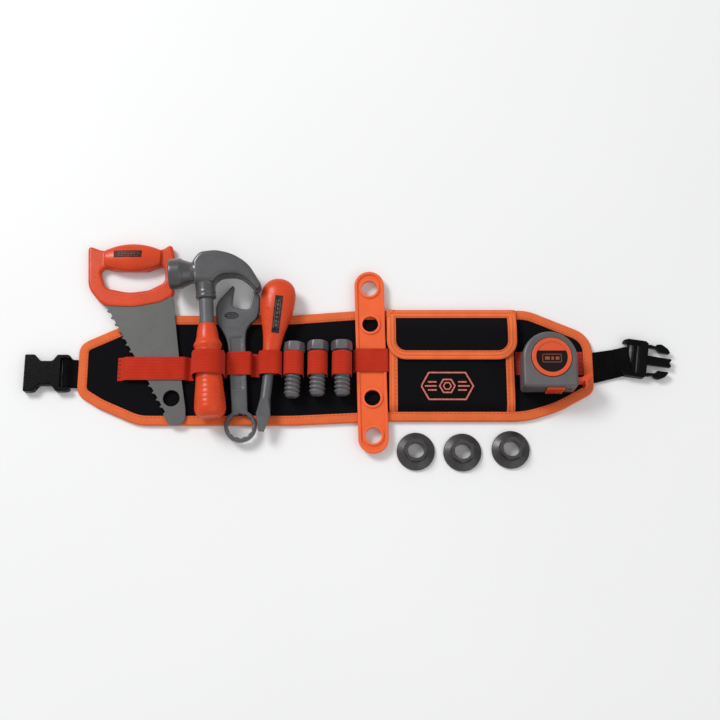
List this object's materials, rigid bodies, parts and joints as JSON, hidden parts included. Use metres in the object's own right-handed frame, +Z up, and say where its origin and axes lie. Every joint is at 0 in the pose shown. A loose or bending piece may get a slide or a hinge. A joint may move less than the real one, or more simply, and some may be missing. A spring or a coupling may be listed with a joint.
{
  "type": "toy tool belt",
  "caption": "Padded child's tool belt lying open, with toy hand tools held in elastic loops, a flapped pocket, a clip-on tape measure and a side-release buckle.",
  "frame": {"origin": "middle of the whole set's plan, on the surface it lies on", "axes": "+X along the belt towards the plug half of the buckle, +Y across it towards the tool handles, +Z up from its back to its front"},
  "size_m": [0.6552, 0.237, 0.0417],
  "materials": {
    "panel_fabric": "black woven panel",
    "binding_fabric": "orange binding tape",
    "elastic_web": "red-orange elastic",
    "strap_elastic": "dark red elastic",
    "flap_fabric": "black fabric",
    "touch_tape": "hook and loop tape",
    "black_webbing": "woven webbing",
    "buckle_plastic": "black moulded",
    "grey_plastic": "silver-grey moulded",
    "orange_plastic": "red-orange moulded",
    "bright_orange_plastic": "orange moulded",
    "label_dark": "dark sticker",
    "screw_steel": "plated screw",
    "tape_film": "flexible tape"
  },
  "bodies": {
    "belt": {"belt_panel": "panel_fabric", "panel_binding": "binding_fabric", "saw_elastic": "elastic_web", "hammer_elastic": "elastic_web", "wrench_elastic": "elastic_web", "screwdriver_elastic": "elastic_web", "bolt_elastic_1": "elastic_web", "bolt_elastic_2": "elastic_web", "bolt_elastic_3": "elastic_web", "strip_elastic": "elastic_web", "tape_elastic": "strap_elastic", "pocket_front": "panel_fabric", "pocket_binding": "binding_fabric", "pocket_loop_patch": "touch_tape"},
    "flap": {"pocket_flap": "flap_fabric", "flap_binding": "binding_fabric", "flap_hook_patch": "touch_tape"},
    "left_strap": {"left_webbing": "black_webbing", "socket_buckle": "buckle_plastic"},
    "right_strap": {"right_webbing": "black_webbing", "plug_buckle": "buckle_plastic"},
    "latch_arm_upper": {"plug_arm_upper": "buckle_plastic"},
    "latch_arm_lower": {"plug_arm_lower": "buckle_plastic"},
    "saw": {"saw_blade": "grey_plastic", "saw_handle": "orange_plastic", "saw_label": "label_dark"},
    "hammer": {"hammer_head": "grey_plastic", "hammer_shaft": "grey_plastic", "hammer_grip": "orange_plastic"},
    "wrench": {"wrench": "grey_plastic"},
    "screwdriver": {"screwdriver_handle": "orange_plastic", "screwdriver_shaft": "grey_plastic", "screwdriver_label": "label_dark"},
    "bolt_1": {"bolt_1": "grey_plastic"},
    "bolt_2": {"bolt_2": "grey_plastic"},
    "bolt_3": {"bolt_3": "grey_plastic"},
    "strip": {"perforated_strip": "bright_orange_plastic"},
    "nut_1": {"nut_1": "grey_plastic"},
    "nut_2": {"nut_2": "grey_plastic"},
    "nut_3": {"nut_3": "grey_plastic"},
    "tape_measure": {"tape_case_front": "grey_plastic", "tape_case_back": "grey_plastic", "tape_screws": "screw_steel", "tape_clip": "grey_plastic", "tape_clip_screw": "screw_steel", "tape_ring": "orange_plastic", "tape_label": "label_dark", "tape_axle": "grey_plastic"},
    "tape_reel": {"tape_reel": "orange_plastic", "tape_coil": "tape_film", "tape_spring": "screw_steel"},
    "tape_end": {"tape_blade": "tape_film", "tape_hook": "orange_plastic"},
    "tape_lock": {"tape_lock": "orange_plastic"}
  },
  "joints": [
    {"name": "flap_hinge", "type": "hinge", "parent": "belt", "child": "flap", "pos_m": [0.10425, 0.0464, 0.0069], "axis": [-1, 0, 0], "range_deg": [0, 170]},
    {"name": "left_strap_hinge", "type": "hinge", "parent": "belt", "child": "left_strap", "pos_m": [-0.2759, -0.019, 0.0025], "axis": [0, 1, 0], "range_deg": [-90, 90]},
    {"name": "right_strap_hinge", "type": "hinge", "parent": "belt", "child": "right_strap", "pos_m": [0.2484, -0.014, 0.0025], "axis": [0, 1, 0], "range_deg": [-90, 90]},
    {"name": "latch_arm_upper_flex", "type": "hinge", "parent": "right_strap", "child": "latch_arm_upper", "pos_m": [0.30618, 0.00933, 0.0051], "axis": [0, 0, -1], "range_deg": [0, 8], "stiffness_Nm_per_rad": 0.02},
    {"name": "latch_arm_lower_flex", "type": "hinge", "parent": "right_strap", "child": "latch_arm_lower", "pos_m": [0.30174, -0.02034, 0.0051], "axis": [0, 0, 1], "range_deg": [0, 8], "stiffness_Nm_per_rad": 0.02},
    {"name": "saw_draw", "type": "slide", "parent": "belt", "child": "saw", "axis": [-0.1305, 0.9914, 0], "range_m": [0, 0.13]},
    {"name": "hammer_draw", "type": "slide", "parent": "belt", "child": "hammer", "axis": [-0.0639, 0.9882, 0.1392], "range_m": [0, 0.13], "deforming": ["hammer_elastic"]},
    {"name": "wrench_draw", "type": "slide", "parent": "belt", "child": "wrench", "axis": [0, 1, 0], "range_m": [0, 0.15], "deforming": ["wrench_elastic"]},
    {"name": "screwdriver_draw", "type": "slide", "parent": "belt", "child": "screwdriver", "axis": [0.1305, 0.9914, 0], "range_m": [0, 0.14]},
    {"name": "bolt_1_draw", "type": "slide", "parent": "belt", "child": "bolt_1", "axis": [0.0106, 0.866, 0.5], "range_m": [0, 0.1], "deforming": ["bolt_elastic_1"]},
    {"name": "bolt_2_draw", "type": "slide", "parent": "belt", "child": "bolt_2", "axis": [0.0106, 0.866, 0.5], "range_m": [0, 0.1], "deforming": ["bolt_elastic_2"]},
    {"name": "bolt_3_draw", "type": "slide", "parent": "belt", "child": "bolt_3", "axis": [0.0106, 0.866, 0.5], "range_m": [0, 0.1], "deforming": ["bolt_elastic_3"]},
    {"name": "strip_draw", "type": "slide", "parent": "belt", "child": "strip", "axis": [-0.0253, 0.9997, 0], "range_m": [0, 0.155]},
    {"name": "nut_1_lift", "type": "slide", "parent": "belt", "child": "nut_1", "axis": [0, 0, 1], "range_m": [0, 0.03]},
    {"name": "nut_2_lift", "type": "slide", "parent": "belt", "child": "nut_2", "axis": [0, 0, 1], "range_m": [0, 0.03]},
    {"name": "nut_3_lift", "type": "slide", "parent": "belt", "child": "nut_3", "axis": [0, 0, 1], "range_m": [0, 0.03]},
    {"name": "tape_unclip", "type": "slide", "parent": "belt", "child": "tape_measure", "axis": [0, 1, 0], "range_m": [0, 0.1]},
    {"name": "tape_pull", "type": "slide", "parent": "tape_measure", "child": "tape_end", "axis": [1, 0, 0], "range_m": [0, 0.04], "stiffness_N_per_m": 8},
    {"name": "reel_turn", "type": "hinge", "parent": "tape_measure", "child": "tape_reel", "pos_m": [0.1994, -0.0124, 0.0222], "axis": [0, 0, 1], "range_deg": [0, 130]},
    {"name": "tape_lock_slide", "type": "slide", "parent": "tape_measure", "child": "tape_lock", "axis": [1, 0, 0], "range_m": [0, 0.003]}
  ],
  "couplings": [
    {"joint": "reel_turn", "follows": "tape_pull", "rad_per_m": 55.556}
  ]
}
